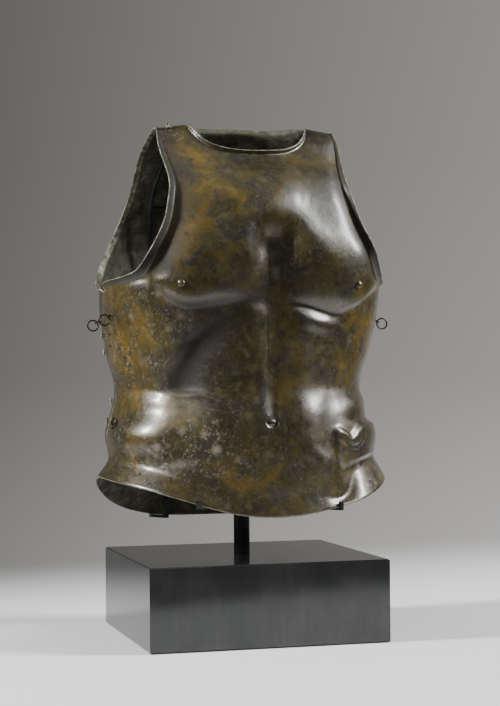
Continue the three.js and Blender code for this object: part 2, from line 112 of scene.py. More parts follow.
# ---------------------------------------------------------------- post
# A round bar of mild steel, stood in the middle of the block and sprayed satin black. It carries the flat
# bars that hold the sheet: four hook arms at the hem, two uprights, a crossbar and a tie arm inside the back.


def make_piece(name, points, faces, materials, replaced, finish=None, values=None):
    """A smooth mesh from vertex places in millimetres and a list of faces, moving with the one body, with a
    material index for each face and a field for each named value where they are given."""
    mesh = bpy.data.meshes.new(name)
    mesh.from_pydata((points / 1000).tolist(), [], [list(f) for f in faces])
    mesh.polygons.foreach_set("use_smooth", [True] * len(mesh.polygons))
    for material in materials:
        mesh.materials.append(material)
    if finish is not None:
        mesh.polygons.foreach_set("material_index", finish)
    for label, numbers in (values or {}).items():
        field = mesh.attributes.new(label, "FLOAT", "POINT")
        field.data.foreach_set("value", np.asarray(numbers, np.float32))
    mesh.update()
    thing = bpy.data.objects.new(name, mesh)
    bpy.context.scene.collection.objects.link(thing)
    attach(thing, "root")
    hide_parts(*replaced)


def carried(section, path, closed=False):
    """A closed section (sideways, upwards) carried along a path; the frame at each place has its upwards
    axis as near to +Z as the path allows (to +Y where the path is upright). Ends are closed by flat faces."""
    section, path = np.asarray(section, float), np.asarray(path, float)
    if closed:
        ahead = np.roll(path, -1, 0) - np.roll(path, 1, 0)
    else:
        ahead = np.gradient(path, axis=0)
    ahead /= np.linalg.norm(ahead, axis=1)[:, None]
    mean = np.abs(ahead).mean(0)
    up = np.array([0, 0, 1.0]) if mean[2] < 0.75 else np.array([0, 1.0, 0])
    side = np.cross(ahead, up)
    side /= np.linalg.norm(side, axis=1)[:, None]
    above = np.cross(side, ahead)
    rings = path[:, None] + section[None, :, :1] * side[:, None] + section[None, :, 1:] * above[:, None]
    n, m = rings.shape[:2]
    i, j = np.meshgrid(np.arange(n if closed else n - 1), np.arange(m), indexing="ij")
    a, b = i * m + j, i * m + (j + 1) % m
    c, d = ((i + 1) % n) * m + (j + 1) % m, ((i + 1) % n) * m + j
    faces = np.stack([a, d, c, b], -1).reshape(-1, 4).tolist()
    if not closed:
        faces += [list(range(m)), list(range((n - 1) * m, n * m))[::-1]]
    return rings.reshape(-1, 3), faces


def circle(radius, count):
    """Places round a circle, anticlockwise seen along the path."""
    turn = np.linspace(0, 2 * np.pi, count, endpoint=False)
    return np.stack([radius * np.cos(turn), radius * np.sin(turn)], -1)


def satin_black_enamel():
    """Sprayed enamel on steel: near-black and low in gloss, with an orange-peel about 1 mm across, and greyer
    in patches of about 11 mm where the coat is rubbed thin."""
    material, tree, coords, surface = new_material("black_enamelled_steel")
    rub = add_node(tree, "TexNoise", {"Vector": coords, "Scale": 90, "Detail": 6, "Roughness": 0.7})
    tint = add_node(tree, "ValToRGB", {0: rub.outputs[0]},
                    stops=[(0.35, "#191919"), (0.62, "#252525"), (0.8, "#44423f")])
    gloss = add_node(tree, "MapRange", {0: rub.outputs[0], 1: 0.3, 2: 0.7, 3: 0.3, 4: 0.45})
    peel = add_node(tree, "TexNoise", {"Vector": coords, "Scale": 900, "Detail": 1})
    skin = add_node(tree, "Bump", {"Strength": 0.1, "Distance": 0.0002, "Height": peel.outputs[0]})
    enamel = add_node(tree, "BsdfPrincipled", {
        "Base Color": tint.outputs[0], "Metallic": 0.35, "Roughness": gloss.outputs[0],
        "Normal": skin.outputs[0]})
    tree.links.new(enamel.outputs[0], surface)
    return material


black_steel = satin_black_enamel()
# The post's stations are close together at its foot, where it goes into the block.
post_low, post_high = (np.array(v) * 1000 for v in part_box("post"))
post_radius = (post_high[0] - post_low[0]) / 2
stations = np.array([0, 0.4, 1.2, 2, 60, 200, post_high[2] - post_low[2]])
centre = np.zeros(len(stations))
points, faces = carried(circle(post_radius, 48), np.stack([centre, centre, post_low[2] + stations], -1))
make_piece("post_bar", points, faces, [black_steel], ["post"])
for name in ("hook_arm_front_right", "hook_arm_front_left", "hook_arm_back_right", "hook_arm_back_left",
             "upright_right", "upright_left", "crossbar", "tie_arm"):
    wear(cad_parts[name], black_steel)

# ---------------------------------------------------------------- breastplate
# One sheet of bronze about 1.8 mm thick, raised by hammering from behind into the modelled chest and belly.
# Its rims are turned outwards at the arms, neck and hips, and the raw edges are worn pale and green.

# In what follows a side of -1 is the breastplate and 1 the backplate. Lengths are in mm.
SHEET = 1.8
# Sections of the torso: height, half width, y of the side seam, of the chest, of the back, squareness.
SECTIONS = np.array([
    [130, 168, 4, -138, 126, 2.3], [200, 167, 10, -136, 122, 2.3], [225, 165, 16, -136, 123, 2.35],
    [250, 168, 21, -136, 124, 2.4], [275, 161, 25, -135, 122, 2.35], [305, 155, 28, -128, 112, 2.3],
    [350, 165, 26, -126, 116, 2.5], [400, 172, 19, -124, 126, 2.9], [440, 172, 14, -128, 131, 3.2],
    [480, 171, 8, -131, 132, 3.3], [520, 166, 0, -121, 126, 3.3], [560, 158, -10, -100, 106, 3.3],
    [590, 149, -19, -74, 80, 3.2], [610, 141, -24, -58, 52, 3.1], [622, 135, -27, -47, 26, 3.0],
    [630, 131, -29, -37, 0, 3.0], [634, 129, -30, -30, -30, 3.0]])
NECK_HALF_WIDTH = 79
# The shoulders drop this much per mm outside the neck, fully at the ridge and not at all below SHOULDER_FROM.
SHOULDER_DROP, SHOULDER_FROM, RIDGE = 0.15, 560, 634
# The nape stands this much above the shoulders.
BACK_NECK_LIFT = 24
# Share of a plate's height where the armhole starts, and of its half width where the shoulder strap starts.
ARM_START, STRAP = 0.44, 0.66
# Height of the leaned-out hem flange, and how far each plate reaches past its side edge towards the other.
FLANGE_HEIGHT, SEAM_REACH = 22, 2.1
# Side edges: place along the armhole, degrees round, height.
FRONT_ARMHOLE = np.array([
    [0, 88.8, 431], [0.12, 72, 431.5], [0.24, 56, 433], [0.33, 48, 441], [0.45, 42, 466],
    [0.58, 38, 500], [0.7, 36.5, 532], [0.82, 36.6, 563], [0.93, 41.5, 598], [1, 50, 633.2]])
BACK_ARMHOLE = np.array([
    [0, 88.8, 428], [0.15, 76, 431], [0.3, 62, 445], [0.45, 52, 470], [0.6, 45.5, 500],
    [0.72, 42, 530], [0.84, 41, 563], [0.94, 44.5, 597], [1, 51, 633.2]])
# Reach of the turned-out armhole lip: place along, outward, backward, upward.
FRONT_LIP = np.array([
    [0, 4.5, 0, 5.5], [0.12, 7, -1, 6.5], [0.24, 8, -3, 7.5], [0.33, 9, -5, 7], [0.45, 9, -6.5, 3.2],
    [0.58, 8.5, -7, 1.5], [0.7, 8, -7, 0.5], [0.82, 7.5, -6.5, 0], [0.93, 6.5, -4.5, 0.5], [1, 3.6, 0, 0.8]])
BACK_LIP = np.array([
    [0, 4, 0, 3], [0.3, 5.5, -1, 2], [0.7, 4.5, -1.5, 0], [0.93, 4, 0, 0.5], [1, 3.6, 0, 0.8]])
# The lip of the left armhole of each plate is worn down to this share of the right one's outward reach.
LEFT_LIP_SHARE = 0.6
# Degrees of the side seam, and millimetres round the sheet to one degree.
SEAM_ANGLE, MM_PER_DEGREE = 88.8, 2.7


def through(stations, column, q):
    """Smooth curve through a column of stations: cubic pieces, each station's slope that of a parabola
    through it and its neighbours."""
    x, y = stations[:, 0], stations[:, column]
    h = np.diff(x)
    rise = np.diff(y) / h
    middle = (rise[:-1] * h[1:] + rise[1:] * h[:-1]) / (h[1:] + h[:-1])
    slope = np.concatenate([rise[:1], middle, rise[-1:]])
    q = np.clip(q, x[0], x[-1])
    k = np.clip(np.searchsorted(x, q, "right") - 1, 0, len(x) - 2)
    t = (q - x[k]) / h[k]
    return ((2 * t ** 3 - 3 * t ** 2 + 1) * y[k] + (t ** 3 - 2 * t ** 2 + t) * h[k] * slope[k]
            + (3 * t ** 2 - 2 * t ** 3) * y[k + 1] + (t ** 3 - t ** 2) * h[k] * slope[k + 1])


def swell(q, middle, width):
    """A rounded hump: e to the minus squared distance from the middle in widths."""
    return np.exp(-(((q - middle) / width) ** 2))


def climb(q, middle, width):
    """A smooth step from 0 to 1, centred on the middle."""
    return 0.5 * (1 + np.tanh((q - middle) / width))


def torso(angle, height, side):
    """Point of the plain torso: an oval (x and y powered by the squareness) of the section at that height,
    reached at that angle round from the middle of the plate, dropped along the shoulder and lifted at the
    nape."""
    a, seam = through(SECTIONS, 1, height), through(SECTIONS, 2, height)
    middle, n = through(SECTIONS, 3 if side < 0 else 4, height), through(SECTIONS, 5, height)
    s, c = np.sin(np.radians(angle)), np.cos(np.radians(angle))
    reach = (np.abs(s) ** n + np.abs(c) ** n) ** (-1 / n)
    x, y = a * reach * s, seam + (middle - seam) * reach * c
    high = np.clip((height - SHOULDER_FROM) / (RIDGE - SHOULDER_FROM), 0, 1)
    z = height - SHOULDER_DROP * np.maximum(np.abs(x) - NECK_HALF_WIDTH, 0) * high
    if side > 0:
        z = z + BACK_NECK_LIFT * np.maximum(1 - (x / NECK_HALF_WIDTH) ** 2, 0) * np.minimum(high * 1.5, 1)
    return np.stack([x, y, z], -1)


def plain_hem(angle, side):
    """Height of the bottom edge: lowest in the middle, rising by a power of the sine of the angle."""
    s = np.abs(np.sin(np.radians(angle)))
    return 155 + 45 * s ** 2 if side < 0 else 140 + 58 * s ** 4


def hem_lift(angle, side):
    """A rounded rise of the front's bottom edge under the right hip."""
    return 8.5 * swell(angle, -44, 24) if side < 0 else 0 * angle


def hem_flare(angle, height, side):
    """Outward lean of the hem flange, growing from its crease to its edge and most at the sides: a straight
    ramp whose foot is rounded. On the left of the front the flange is low near the groin and tall past it."""
    left_front = (angle > 12) & (side < 0)
    tall = FLANGE_HEIGHT + left_front * (13 * climb(angle, 39, 2.2) - 15 * swell(angle, 32, 9))
    above = (height - plain_hem(angle, side) - hem_lift(angle, side)) / tall
    most = 4.5 + 10.5 * climb(np.abs(angle), 34, 7) if side < 0 else 7 + 8 * climb(np.abs(angle), 40, 10)
    return most * np.logaddexp(0, (1 - above) * 14) / 14 * (above < 1.4)


def plate_place(u, v, side):
    """Angle and height on a plate: u runs -1 to 1 between its side edges, v 0 to 1 from hem to top. The
    height blends from the middle line's to the side edge's by a power of u at the top and of its sine at
    the hem."""
    edge = FRONT_ARMHOLE if side < 0 else BACK_ARMHOLE
    neck, neck_power, hem_power = (592, 3, 2) if side < 0 else (612, 2.2, 4)
    along = (v - ARM_START) / (1 - ARM_START)
    edge_angle = np.where(v > ARM_START, through(edge, 1, along), edge[0, 1])
    seam_foot = plain_hem(edge[0, 1], side)
    seam_height = seam_foot + (edge[0, 2] - seam_foot) * v / ARM_START
    edge_height = np.where(v > ARM_START, through(edge, 2, along), seam_height)
    middle = plain_hem(0, side) + (neck - plain_hem(0, side)) * v
    hem_share = np.abs(np.sin(np.radians(u * edge[0, 1]))) ** hem_power
    neck_share = np.clip(np.abs(u) / STRAP, 0, 1) ** neck_power
    angle = u * edge_angle
    height = middle + (edge_height - middle) * (hem_share * (1 - v) + neck_share * v)
    return angle, height + hem_lift(angle, side) * (1 - v) ** 2


# The crease under the chest (degrees, height), and the edge of the ribs over the belly (height, degrees).
PECTORAL_CREASE = np.array([
    [-60, 446], [-42.5, 429], [-37.5, 413], [-32, 405], [-21, 408], [-10, 411], [-3.4, 413], [2.2, 410],
    [12, 408], [21.6, 402], [28.6, 399], [36.6, 406], [44.6, 421], [60, 446]])
RIB_EDGE = np.array([
    [296, 41], [304, 43], [318, 43], [337, 39.5], [354, 35], [367, 32.5], [380, 28], [388, 24], [398, 28],
    [414, 37], [430, 46], [440, 52]])
# Left hip: inner side of the bulge (height, degrees), its heart-shaped top, its foot, and the fold across it
# (degrees, height); and the groove beside the belly that runs down into it (height, degrees).
HIP_INNER = np.array([[196, 44], [204, 38], [212, 33], [226, 29.3], [239, 28], [253, 27.6], [270, 29]])
HIP_TOP = np.array([
    [24, 250], [27, 257], [30.5, 261], [34, 257], [37, 251], [40, 257], [44, 263], [60, 266], [92, 266]])
HIP_FOOT = np.array([[26, 196], [31, 203], [37, 211], [43, 216], [56, 221], [92, 222]])
HIP_FOLD = np.array([[31.5, 247], [34, 241], [38, 235.5], [42, 236.5], [45, 244], [46, 252]])
GROOVE = np.array([[215, 30], [226, 27.6], [256, 26.6], [279, 28.2], [303, 29.5], [330, 31]])
# Line where the chest meets the lip of the armhole: height, degrees.
ARM_CREASE = np.array([
    [433, 54], [441, 48], [466, 42], [500, 38], [532, 36.5], [563, 36.6], [598, 41.5], [633, 50]])


def nearest(t, height, line):
    """Distance in mm to a broken line of (degrees, height)."""
    best = np.full(t.shape, 1e9)
    for (t0, z0), (t1, z1) in zip(line[:-1], line[1:]):
        ax, az, px, pz = (t1 - t0) * MM_PER_DEGREE, z1 - z0, (t - t0) * MM_PER_DEGREE, height - z0
        share = np.clip((px * ax + pz * az) / (ax * ax + az * az), 0, 1)
        best = np.minimum(best, np.hypot(px - share * ax, pz - share * az))
    return best


def chest_relief(angle, height):
    """The chest: pectorals that rise above their crease by an exponential and thin out upwards, a raised
    collar, a flat upper chest that breaks away at an angle, the groove of the breastbone between two smooth
    steps, and a shallow channel along each armhole."""
    t = np.abs(angle)
    over = np.logaddexp(0, (height - through(PECTORAL_CREASE, 1, angle)) / 2) * 2
    high = climb(height, 492, 14)
    pectoral = 13 * (1 - np.exp(-over / 9)) * (swell(t, 31, 22) * (1 - high) + 0.7 * swell(t, 5, 42) * high)
    pectoral = pectoral * np.where(height > 440, swell(height, 440, 85), 1)
    collar = 3 * swell(angle, 0, 21) * swell(height, 545, 45)
    break_angle = 13 + 17 * climb(488, height, 26)
    upper = 8 * climb(break_angle, t, 6) * swell(height, 518, 58) * (0.5 + 0.5 * climb(angle, -10, 9))
    groove = climb(angle, -5, 3.8) * climb(5 + 0.07 * (height - 410) - angle, 0, 4)
    groove = -(4 + 13.5 * swell(height, 486, 30)) * groove * climb(height, 418, 8) * climb(503, height, 15)
    arm = through(ARM_CREASE, 1, height)
    channel = np.where(angle < 0, 4.4 * swell(t, arm - 1, 9), 4.6 * swell(t, arm + 1.5, 5))
    return pectoral + collar + upper + groove - channel * climb(height, 437, 6)


def belly_relief(angle, height):
    """The belly: a column to each side with a rounded head under the chest, the line between them, the swell
    of the lower belly and the dip of the groin, all rounded humps, and the navel, a sunk ring round a
    button."""
    crease = through(PECTORAL_CREASE, 1, angle)
    under = climb(crease - 5 - height, 0, 4.5)
    right_column = 2.8 * swell(angle, -6 + 2.6 * climb(320, height, 12), 5) * climb(height, 282, 12) * under
    left_column = 4.8 * swell(angle, 14 + 11 * climb(226, height, 12), 8) * climb(height, 205, 18) * under
    heads = (2.2 * swell(angle, -5, 6) + 5.5 * swell(angle, 19, 9)) * swell(height, crease - 17, 12)
    midline = -1.1 * swell(angle, 2.4, 4.4) * under * climb(height, 279, 4)
    sunk_line = -3 * swell(angle, 1.2, 3.4) * swell(height, 277, 24)
    lower = 8 * swell(angle, 2, 23) * swell(height, 198, 46)
    lower_line = -1.4 * swell(angle, 1.5, 5) * swell(height, 235, 24)
    groin = -3.6 * swell(angle, 36, 6) * swell(height, 213, 17)
    far = np.hypot((angle - 0.4) * 2.35, height - 267.5)
    navel = -1.3 * swell(far, 5.2, 1.4) + 0.8 * swell(far, 0, 2.8) + 0.4 * swell(far, 7.4, 1.5)
    return right_column + left_column + heads + midline + sunk_line + lower + lower_line + groin + navel


def right_side_relief(angle, height):
    """The hollow under the ribs, which is deep on the right and faint on the left and fills up inwards by an
    exponential, the rolls of the right waist, and the right hip with the dip on its inner side."""
    t = np.abs(angle)
    right = angle < 0
    inside = through(RIB_EDGE, 1, height) - t
    hollow = (1 - np.exp(-(np.maximum(inside + 3, 0) / 5) ** 2)) * np.exp(-(np.maximum(inside, 0) / 18) ** 2)
    hollow = -np.where(right, 8, 1.2) * hollow * climb(height, 304, 4) * climb(376, height, 12)
    waist = 302 + 0.25 * (t - 40)
    rolls = (-1.3 * swell(height, waist, 7) + 1.2 * swell(height, waist - 12, 9) - 1.1 * swell(height, 281, 8)
             + 1.2 * swell(height, waist + 18, 10)) * climb(t, 45, 9) * right
    hip = 5.4 * swell(angle, -59, 15) * swell(height, 252, 21)
    dip = -5 * right * climb(44, t, 9) * swell(t, 38, 14) * climb(height, 219, 6) * climb(299, height, 5)
    return hollow + rolls + hip + dip


def left_hip_relief(angle, height):
    """The bulge over the left hip bone, full inside its inner side, top and foot, with a sunk fold across it,
    the roll of the waist above, and the groove beside the belly that runs down into it."""
    inner = (angle - through(HIP_INNER, 1, height)) * MM_PER_DEGREE
    upright = np.minimum(through(HIP_TOP, 1, angle) - height, height - through(HIP_FOOT, 1, angle))
    bulge = 4.6 * climb(np.minimum(inner, upright), 2.5, 2.6) * climb(92, angle, 12)
    fold = -2 * swell(nearest(angle, height, HIP_FOLD), 0, 3.2)
    groove = -1.6 * swell(angle, through(GROOVE, 1, height), 4.6)
    groove = groove * climb(height, 232, 8) * climb(292, height, 9)
    waist = 2.8 * swell(height, 288 + 0.2 * (angle - 42), 9) - 1.6 * swell(height, 270, 5)
    return (bulge + fold + waist * climb(angle, 40, 4)) * (angle > 0) + groove


def front_relief(angle, height):
    """Height of all the modelled muscles of the front over the plain torso."""
    return (chest_relief(angle, height) + belly_relief(angle, height) + right_side_relief(angle, height)
            + left_hip_relief(angle, height))


def back_relief(angle, height):
    """Shoulder blades, the furrow of the spine and the loins over the plain back."""
    t = np.abs(angle)
    blades = 8 * swell(t, 27, 15) * swell(height, 500, 55)
    spine = -6 * swell(angle, 0, 6) * climb(height, 215, 20) * climb(560, height, 20)
    loins = 4 * swell(t, 16, 9) * swell(height, 300, 60)
    return blades + spine + loins


def unevenness(x, y, z, size, seed):
    """Smooth wandering of hand-hammered sheet, about -1 to 1: a sum of waves of about that size in random
    directions and phases, divided by the root of their number and by 1.5."""
    waves = 18
    chance = np.random.default_rng(seed)
    total = 0
    for turn, lean, phase, stretch in chance.uniform(size=(waves, 4)):
        turn, lean = turn * 2 * np.pi, np.arccos(2 * lean - 1)
        way = np.array([np.sin(lean) * np.cos(turn), np.sin(lean) * np.sin(turn), np.cos(lean)])
        rate = 2 * np.pi / (size * (0.7 + 0.6 * stretch))
        total = total + np.sin(rate * (x * way[0] + y * way[1] + z * way[2]) + phase * 2 * np.pi)
    return total / waves ** 0.5 / 1.5


def plate_core(u, v, side):
    """Outer point of a plate inside its lips: plain torso, moved out along its normal by the relief and by
    hammer waves 55 mm and 14 mm long, both fading out at the seams and the ridge, and the hem flange leaned
    out along the level part of that normal."""
    angle, height = plate_place(u, v, side)
    point = torso(angle, height, side)
    along_side = torso(angle + 0.6, height, side) - torso(angle - 0.6, height, side)
    along_rise = torso(angle, np.minimum(height + 1, RIDGE), side) - torso(angle, height - 1, side)
    normal = np.cross(along_side, along_rise) * -side
    normal /= np.linalg.norm(normal, axis=-1, keepdims=True)
    x, y, z = np.moveaxis(point, -1, 0)
    relief = front_relief(angle, height) if side < 0 else back_relief(angle, height)
    relief = relief + 0.34 * unevenness(x, y, z, 55, 3) + 0.06 * unevenness(x, y, z, 14, 4)
    fade = np.clip((SEAM_ANGLE - np.abs(angle)) / 6, 0, 1) * np.clip((RIDGE - height) / 40, 0, 1)
    point = point + normal * (relief * fade)[..., None]
    flat = np.stack([normal[..., 0], normal[..., 1] * fade, np.zeros_like(fade)], -1)
    flat /= np.linalg.norm(flat, axis=-1, keepdims=True)
    return point + flat * hem_flare(angle, height, side)[..., None], angle, height


def plate_grid(side, columns, rows, lip_columns=6, lip_rows=4):
    """Outer grid of a plate: the core, a lip that leans straight out beyond each armhole edge by the reach in
    its stations, a short straight strip beyond each side seam, and a turned-out strip along the neck. Returns
    points, angle, height and the share of the way across the lip, 0 to 1."""
    lip = FRONT_LIP if side < 0 else BACK_LIP
    u = np.concatenate([np.full(lip_columns, columns[0]), columns, np.full(lip_columns, columns[-1])])
    over_side = np.concatenate([np.linspace(1, 0, lip_columns + 1)[:-1], np.zeros(len(columns)),
                                np.linspace(0, 1, lip_columns + 1)[1:]])
    v = np.concatenate([rows, np.ones(lip_rows)])
    over_top = np.concatenate([np.zeros(len(rows)), np.linspace(0, 1, lip_rows + 1)[1:]])
    u, v = np.meshgrid(u, v, indexing="ij")
    over_side, over_top = np.meshgrid(over_side, over_top, indexing="ij")
    point, angle, height = plate_core(u, v, side)
    along = (v - ARM_START) / (1 - ARM_START)
    arm = np.stack([np.where(u > 0, LEFT_LIP_SHARE, -1) * through(lip, 1, along), through(lip, 2, along),
                    through(lip, 3, along)], -1)
    seam = np.array([0, -side * SEAM_REACH, 0])
    point = point + over_side[..., None] * np.where((v > ARM_START)[..., None], arm, seam)
    strap = np.clip((np.abs(u) - STRAP + 0.06) / 0.06, 0, 1)[..., None]
    neck = np.array([0, -1.5, 4.5]) if side < 0 else np.array([0, 2.5, 5])
    point = point + over_top[..., None] * (neck * (1 - strap) + np.array([0, -side * 0.4, 0.2]) * strap)
    return point, angle, height, over_side


def sheet_of(point, worn=0):
    """Closes a grid into sheet metal: an inner grid set back by the wall along the normals, and a rim of two
    strips whose middle line stands out, so that the raw edge is round. The finish is 0 outside, 1 inside and
    2 on the rim and on that many worn columns at each end of the inside. Returns points, faces, finish and
    which places of the grid lie on the rim."""
    along_u, along_v = np.gradient(point, axis=0), np.gradient(point, axis=1)
    normal = np.cross(along_u, along_v)
    normal /= np.linalg.norm(normal, axis=-1, keepdims=True)
    inner = point - normal * SHEET
    n, m = point.shape[:2]
    count = n * m
    i, j = np.meshgrid(np.arange(n - 1), np.arange(m - 1), indexing="ij")
    a, b, c, d = i * m + j, (i + 1) * m + j, (i + 1) * m + j + 1, i * m + j + 1
    outside = np.stack([a, b, c, d], -1).reshape(-1, 4)
    inside = np.stack([a, d, c, b], -1).reshape(-1, 4) + count
    ring_i = np.concatenate([
        np.arange(n), np.full(m - 1, n - 1), np.arange(n - 2, -1, -1), np.zeros(m - 2, int)])
    ring_j = np.concatenate([
        np.zeros(n, int), np.arange(1, m), np.full(n - 1, m - 1), np.arange(m - 2, 0, -1)])
    ring = ring_i * m + ring_j
    step_in = np.clip(ring_i, 1, n - 2) * m + np.clip(ring_j, 1, m - 2)
    flat = point.reshape(-1, 3)
    out = flat[ring] - flat[step_in]
    out /= np.linalg.norm(out, axis=1)[:, None]
    middle = (flat[ring] + inner.reshape(-1, 3)[ring]) / 2 + out * SHEET * 0.35
    k = np.arange(len(ring))
    nxt = (k + 1) % len(ring)
    mid = 2 * count + k
    rim = np.concatenate([np.stack([ring[k], mid, 2 * count + nxt, ring[nxt]], -1),
                          np.stack([mid, ring[k] + count, ring[nxt] + count, 2 * count + nxt], -1)])
    points = np.concatenate([flat, inner.reshape(-1, 3), middle])
    faces = np.concatenate([outside, inside, rim])
    ends = (i < worn) | (i > n - 2 - worn)
    finish = np.concatenate([np.zeros(len(outside), int), 1 + ends.ravel(), np.full(len(rim), 2)])
    return points, faces, finish, ring


def spread(start, stop, count, dense, width, extra):
    """Places from start to stop, evenly spaced, with extra ones gathered about a dense place."""
    return np.unique(np.round(np.concatenate([
        np.linspace(start, stop, count), np.linspace(dense - width, dense + width, extra)]), 5))


def patches(angle, height, humps):
    """A sum of rounded patches, each given as amount, degrees round, its width, height in mm, its width."""
    return sum(much * swell(angle, a, wide) * swell(height, z, tall) for much, a, wide, z, tall in humps)


def waxed_colour(tree, coords, mottle, vein, patchy):
    """Dark brown to ochre in fields of 50 mm, warmer and lighter where the ochre field is high, which is
    partly the patina's own warmth and partly painted light and painted shade, greened to olive in flecks of
    10 mm and broken at 7 mm by blue-grey tin oxide."""
    share = add_node(tree, "Attribute", attribute_name="ochre_and_painted_light")
    broad = add_node(tree, "TexNoise", {
        "Vector": coords, "Scale": 20, "Detail": 5, "Roughness": 0.62, "Distortion": 0.5})
    sway = add_node(tree, "MapRange", {0: broad.outputs[0], 1: 0.3, 2: 0.7, 3: -0.45, 4: 0.45})
    # The ochre field also paints light and shade into the ground colour: higher is lighter as well as warmer.
    warmth_and_painted_light = add_node(tree, "Math", {0: sway.outputs[0], 1: share.outputs["Fac"]}, operation="ADD")
    ground = add_node(tree, "ValToRGB", {0: warmth_and_painted_light.outputs[0]}, stops=[
        (0.0, "#2a2417"), (0.25, "#342d1a"), (0.5, "#463b1b"), (0.75, "#5d4c1f"), (1.0, "#765f27")])
    olive = add_node(tree, "MapRange", {0: mottle.outputs[0], 1: 0.5, 2: 0.62, 3: 0, 4: 0.7})
    greened = add_node(tree, "Mix", {0: olive.outputs[0], 6: ground.outputs[0], 7: linear("#484320")},
                       data_type="RGBA")
    veined = add_node(tree, "Math", {0: vein.outputs[0], 1: patchy.outputs[0]}, operation="ADD")
    dark = add_node(tree, "MapRange", {0: veined.outputs[0], 1: 0.99, 2: 1.14, 3: 0, 4: 0.85})
    clouded = add_node(tree, "Mix", {0: dark.outputs[0], 6: greened.outputs[2], 7: linear("#2c2c28")},
                       data_type="RGBA")
    return clouded.outputs[2]


def crystal_frost(tree, bent, patchy):
    """Share of beige crystal, 0 to 1: the strongest of the spots in cells of 12, 5 and 2.4 mm, of which only
    the luckier cells have one, gathered in clumps of 30 mm where the frost field is high. On the right strap
    and the left end of the hem, that field is raised partly as frost and partly as a painted highlight."""
    share = add_node(tree, "Attribute", attribute_name="frost_and_painted_highlight")
    spots = None
    for rate, rare in ((80, 0.62), (200, 0.45), (420, 0.3)):
        cells = add_node(tree, "TexVoronoi", {"Vector": bent.outputs[0], "Scale": rate, "Randomness": 1},
                         feature="F1")
        luck = add_node(tree, "SeparateColor", {0: cells.outputs["Color"]})
        reach = add_node(tree, "MapRange", {0: luck.outputs[0], 1: rare, 2: 1, 3: -0.1, 4: 0.52})
        depth = add_node(tree, "Math", {0: reach.outputs[0], 1: cells.outputs["Distance"]},
                         operation="SUBTRACT")
        spot = add_node(tree, "MapRange", {0: depth.outputs[0], 1: -0.16, 2: 0.46, 3: 0, 4: 1})
        if spots is None:
            spots = spot
        else:
            spots = add_node(tree, "Math", {0: spots.outputs[0], 1: spot.outputs[0]}, operation="MAXIMUM")
    clump = add_node(tree, "MapRange", {0: patchy.outputs[0], 1: 0.35, 2: 0.6, 3: 0.15, 4: 1})
    dense = add_node(tree, "Math", {0: clump.outputs[0], 1: share.outputs["Fac"]}, operation="MULTIPLY")
    return add_node(tree, "Math", {0: dense.outputs[0], 1: spots.outputs[0]}, operation="MULTIPLY",
                    use_clamp=True).outputs[0]


def hammered_grain(tree, coords, bent, vein, frost):
    """Bump of the metal's skin: the veins, coarser where "pitted" is high, grit at 1 mm, pits at 3 mm, and
    the crystals standing proud."""
    pits = add_node(tree, "TexVoronoi", {"Vector": bent.outputs[0], "Scale": 300}, feature="F1")
    pit = add_node(tree, "MapRange", {0: pits.outputs[0], 1: 0, 2: 0.2, 3: 0, 4: 0.7})
    grit = add_node(tree, "TexNoise", {"Vector": coords, "Scale": 850, "Detail": 3, "Roughness": 0.6})
    share = add_node(tree, "Attribute", attribute_name="pitted")
    coarse = add_node(tree, "Math", {0: share.outputs["Fac"], 1: 3.5, 2: 0.9}, operation="MULTIPLY_ADD")
    skin = add_node(tree, "Math", {0: vein.outputs[0], 1: coarse.outputs[0], 2: grit.outputs[0]},
                    operation="MULTIPLY_ADD")
    raised = add_node(tree, "Math", {0: skin.outputs[0], 1: pit.outputs[0]}, operation="ADD")
    frosted = add_node(tree, "Math", {0: frost, 1: 0.7, 2: raised.outputs[0]}, operation="MULTIPLY_ADD")
    bump = add_node(tree, "Bump", {"Strength": 0.5, "Distance": 0.0005, "Height": frosted.outputs[0]})
    return bump.outputs[0]


